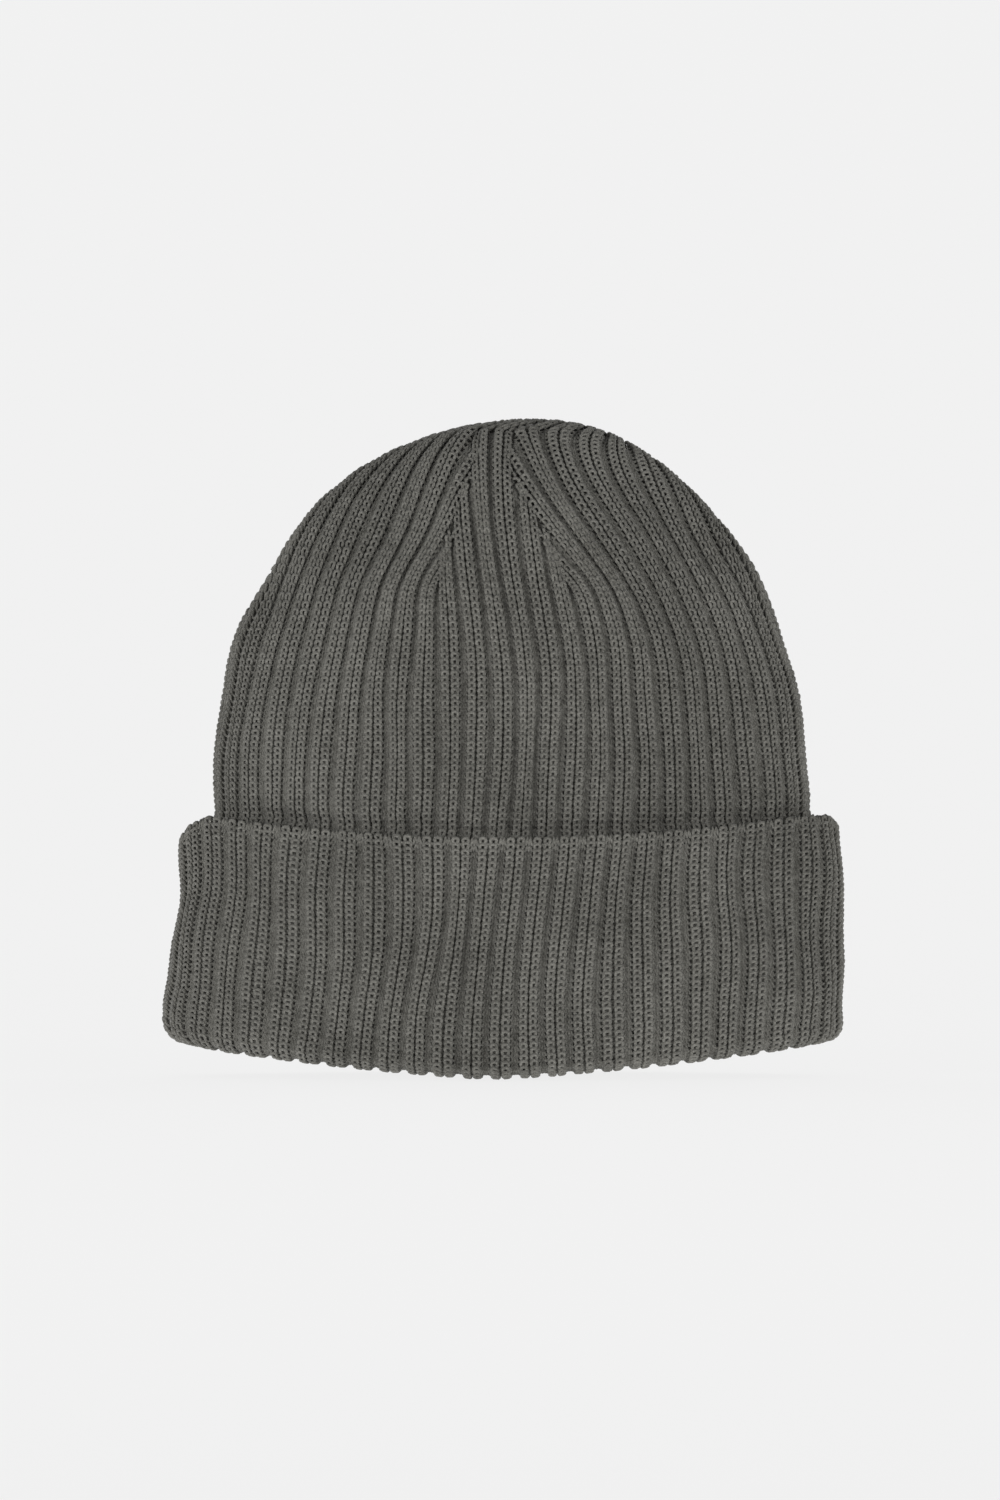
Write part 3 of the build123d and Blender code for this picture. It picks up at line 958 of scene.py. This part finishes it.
def line_cuff():
    outer, inner = [], []
    fill = SIDE_FILL * fold_round(around, 4)[1][:, None] ** SIDE_FILL_POWER
    for course in np.linspace(0, CUFF_COURSES - 1, CUFF_RINGS):
        points, normals = cuff_surface(around_ribs, np.full(AROUND_HAT, course))
        outer.append(points - normals * (LINING_DEPTH - fill))
        inner.append(points - normals * (LINING_BACK - fill))
    cloth = Cloth()
    cloth.add(*sleeve(outer, inner))
    # the lining's darker colour is painted shade, seen through the holes and gaps between the stitches
    cloth.write("cuff_lining_painted_shade", seam_yarn, "cuff", "rib_knit", "turn_up_cuff")


def gusset():
    """Ribbed fabric between cuff and crown. It is drawn out as the cuff is turned down."""
    outer, inner = [], []
    height = np.full(AROUND_HAT, GUSSET_HIGH)
    points, normals = crown_surface(ring_quarters(around_ribs, height), height)
    ribbed = GUSSET_RELIEF * np.cos(2 * pi * (around_ribs - CROWN_RIB_START))
    low = GUSSET_LOW + hem_height(points[:, 0])
    for share in np.linspace(0, 1, GUSSET_ROWS):
        ring = points - normals * (GUSSET_DEPTH - ribbed)[:, None]
        ring[:, 2] = low + (GUSSET_HIGH - low) * share
        outer.append(ring)
        inner.append(ring - normals * GUSSET_THICKNESS)
    cloth = Cloth()
    cloth.add(*sleeve(outer, inner))
    piece = cloth.write("turned_fabric", yarn, None, "rib_knit", "knit_crown")
    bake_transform(piece)


line_crown()
line_cuff()
gusset()


# ---------------------------------------------------------------- seams and closing stitches
def overlock(name, path, normals, half_width, half_depth, body, node):
    """A seam allowance: yarn wound round a path behind the fabric."""
    length = walked(path)
    turns = max(int(length[-1] / STITCH_PITCH), 3)
    at = np.linspace(0, length[-1], turns * STITCH_POINTS)
    angle = 2 * pi * at / length[-1] * turns
    middle = np.stack([np.interp(at, length, path[:, axis]) for axis in range(3)], -1)
    out = unit(np.stack([np.interp(at, length, normals[:, axis]) for axis in range(3)], -1))
    side = unit(np.cross(np.gradient(middle, axis=0), out))
    wound = middle + side * half_width * np.cos(angle)[:, None] + out * half_depth * np.sin(angle)[:, None]
    cloth = Cloth()
    cloth.add(*tube(wound, out, SEAM_YARN_RADIUS, False))
    cloth.add(*tube(middle, out, SEAM_YARN_RADIUS, False))
    cloth.write(name, seam_yarn, body, "seam_yarn", node)


def sew_crown(node, quarters, height, half_width):
    """Sews one of the crown's seams, behind the fabric."""
    points, normals = crown_surface(quarters, height)
    arc = fold_round(quarters, 4)[1] * np.interp(height, heights, quarter)
    path = points - normals * (SEAM_BEHIND + seam_valley(arc, height))[:, None]
    overlock(f"{node}_yarn", path, normals, half_width, SEAM_HALF_DEPTH, "crown", node)


def sew_darts():
    climb = np.linspace(DART_START, SEAM_END, SEAM_POINTS)
    share = dart_distance(climb) / np.interp(climb, heights, quarter)
    for facing, face_name in FACES:
        for side, side_name in SIDES:
            quarters = side * (share if facing > 0 else 2 - share)
            sew_crown(f"dart_seam_{face_name}_{side_name}", quarters, climb, DART_SEAM_HALF_WIDTH)


def sew_ridge():
    climb = np.linspace(RIDGE_START, SEAM_END, SEAM_POINTS)
    for side, side_name in SIDES:
        sew_crown(f"ridge_seam_{side_name}", np.full(SEAM_POINTS, float(side)), climb, DART_SEAM_HALF_WIDTH)


def sew_back():
    """The back seam of the crown, and the same seam pressed flat inside the cuff."""
    climb = np.linspace(BACK_SEAM_START, BACK_SEAM_END, BACK_SEAM_POINTS)
    sew_crown("back_seam", np.full(BACK_SEAM_POINTS, 2.0), climb, BACK_SEAM_HALF_WIDTH)
    courses = np.linspace(LIP_COURSES + FOLD_COURSES, CUFF_COURSES - 2, CUFF_SEAM_POINTS)
    path, normals = cuff_surface(np.full(CUFF_SEAM_POINTS, RIBS / 2), courses)
    path = path - normals * (LINING_BACK + CUFF_SEAM_HALF_DEPTH)
    overlock("cuff_back_seam_yarn", path, normals, CUFF_SEAM_HALF_WIDTH, CUFF_SEAM_HALF_DEPTH,
             "cuff", "cuff_back_seam")


def closing_stitches():
    """Small rings of loops that draw the top of the crown together."""
    apex, _ = crown_surface(np.array([0.0, 2.0]), np.full(2, heights[-1]))
    middle = apex.mean(axis=0)
    cloth = Cloth()
    for loops, radius, depth in CLOSING_RINGS:
        angle = np.linspace(0, 2 * pi, loops * KNIT_POINTS, endpoint=False)
        reach = radius * MM + CLOSING_SWING * np.cos(loops * angle)
        down = depth * MM + CLOSING_DIP * np.cos(loops * angle)
        x, y = CLOSING_WIDTH * reach * np.cos(angle), CLOSING_LENGTH * reach * np.sin(angle)
        path = middle + np.stack([x, y, -down], -1)
        cloth.add(*tube(path, np.tile((0.0, 0.0, 1.0), (len(path), 1)), YARN_RADIUS, True))
    cloth.write("crown_closing", yarn, "crown", "seam_yarn", "crown_tack")


sew_darts()
sew_ridge()
sew_back()
closing_stitches()


# ---------------------------------------------------------------- care label
def label_sheet():
    """A thin tape that hangs from its sewn upper edge and curls a little inwards at its foot."""
    across, down = np.meshgrid(np.linspace(-0.5, 0.5, LABEL_COLUMNS), np.linspace(0, 1, LABEL_ROWS),
                               indexing="ij")
    width, length = label_high.x - label_low.x, label_high.z - label_low.z
    x = (label_high.x + label_low.x) / 2 + across * width
    z = label_high.z - down * length
    y = (label_high.y + label_low.y) / 2 - LABEL_CURL * down**2
    y = y - LABEL_WAVE * down * np.cos(2 * pi * across)
    front = np.stack([x, y - LABEL_HALF_THICKNESS, z], -1).reshape(-1, 3)
    back = np.stack([x, y + LABEL_HALF_THICKNESS, z], -1).reshape(-1, 3)
    count = LABEL_COLUMNS * LABEL_ROWS
    index = np.arange(count).reshape(LABEL_COLUMNS, LABEL_ROWS)
    faces = np.stack([index[:-1, :-1], index[:-1, 1:], index[1:, 1:], index[1:, :-1]], -1).reshape(-1, 4)
    rim = np.concatenate([index[0, :-1], index[:-1, -1], index[-1, :0:-1], index[:0:-1, 0]])
    edge = np.stack([rim, rim + count, np.roll(rim, -1) + count, np.roll(rim, -1)], -1)
    cloth = Cloth()
    cloth.add(np.concatenate([front, back]), np.concatenate([faces, faces[:, ::-1] + count, edge]))
    piece = cloth.write("care_label_sheet", satin, "care_label", "label_satin", "care_label")
    return piece, width, length


def label_stitching():
    """Zigzag stitches over the label's sewn edge, one row on each face."""
    low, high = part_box("care_label_stitches")
    count = 4 * THREAD_STITCHES + 1
    at = np.linspace(0, 1, count)
    zigzag = 2 * np.abs((at * THREAD_STITCHES) % 1 - 0.5)
    x = low.x + (high.x - low.x) * at
    z = label_high.z - THREAD_OVERLAP + THREAD_HEIGHT * zigzag
    cloth = Cloth()
    for from_face in (THREAD_FRONT, THREAD_BACK):
        path = np.stack([x, np.full(count, label_low.y + from_face), z], -1)
        cloth.add(*tube(path, np.tile((0.0, -1.0, 0.0), (count, 1)), THREAD_RADIUS, False))
    return cloth.write("care_label_thread", thread, "crown", "label_thread", "care_label_stitches")


label, label_width, label_length = label_sheet()
stitching = label_stitching()


# ---------------------------------------------------------------- studio
def quarter_bend(start, radius):
    """Points of a profile that leaves the floor at a distance and bends upright."""
    turns = np.linspace(0, pi / 2, 25)
    return [(start + radius * sin(turn), radius * (1 - cos(turn))) for turn in turns]


def paper_sheet(name, paper, vertices):
    """A curved sheet. vertices are pairs across it, one pair after another along its profile."""
    faces = [(i, i + 1, i + 3, i + 2) for i in range(0, len(vertices) - 2, 2)]
    mesh = bpy.data.meshes.new(name)
    mesh.from_pydata(vertices, [], faces)
    mesh.shade_smooth()
    mesh.materials.append(paper)
    sheet = bpy.data.objects.new(name, mesh)
    bpy.context.collection.objects.link(sheet)


def make_backdrop():
    """Pale paper: floor and back wall, and a low wing on each side. It glows enough to look even."""
    paper, _, _, shader = new_material("backdrop_paper", 1.0)
    shader.inputs["Base Color"].default_value = (0.12, 0.12, 0.12, 1)
    shader.inputs["Specular IOR Level"].default_value = 0.0
    shader.inputs["Emission Color"].default_value = (1, 1, 1, 1)
    shader.inputs["Emission Strength"].default_value = 0.82
    back = [(-6.0, 0.0)] + quarter_bend(1.5, 1.2) + [(2.7, 7.0)]
    paper_sheet("backdrop", paper, [(x, y, z) for y, z in back for x in (-7.0, 7.0)])
    for side, name in ((1, "backdrop_right"), (-1, "backdrop_left")):
        wing = quarter_bend(5.0, 1.0)
        paper_sheet(name, paper, [(side * x, y, z) for x, z in wing for y in (-6.0, 2.6)])


def make_light(name, place, size, power):
    light = bpy.data.lights.new(name, "AREA")
    light.size = size
    light.energy = power
    lamp = bpy.data.objects.new(name, light)
    lamp.location = place
    lamp.rotation_euler = (Vector((0, 0, 0.1)) - Vector(place)).to_track_quat("-Z", "Y").to_euler()
    bpy.context.collection.objects.link(lamp)


def make_world(brightness):
    world = bpy.data.worlds.new("studio")
    world.use_nodes = True
    background = world.node_tree.nodes["Background"]
    background.inputs["Color"].default_value = (0.9, 0.9, 0.9, 1)
    background.inputs["Strength"].default_value = brightness
    bpy.context.scene.world = world
    bpy.context.scene.view_settings.view_transform = "Standard"


def make_camera():
    """A long lens almost level with the hat."""
    distance = 3.5
    sensor = 36
    elevation = radians(0.5)
    frame_height = 0.4815
    aim = Vector((-1.4 * MM, 0, 0.1047))
    camera = bpy.data.cameras.new("camera")
    camera.sensor_fit = "VERTICAL"
    camera.sensor_height = sensor
    camera.lens = sensor * distance / frame_height
    holder = bpy.data.objects.new("camera", camera)
    holder.location = aim + Vector((0, -distance * cos(elevation), distance * sin(elevation)))
    holder.rotation_euler = (aim - holder.location).to_track_quat("-Z", "Y").to_euler()
    bpy.context.collection.objects.link(holder)
    bpy.context.scene.camera = holder


make_backdrop()
make_light("left_box", (-1.5, -1.5, 0.1), 0.7, 28)
make_light("right_box", (1.5, -1.5, 0.05), 0.7, 26.5)
make_world(0.22)
make_camera()
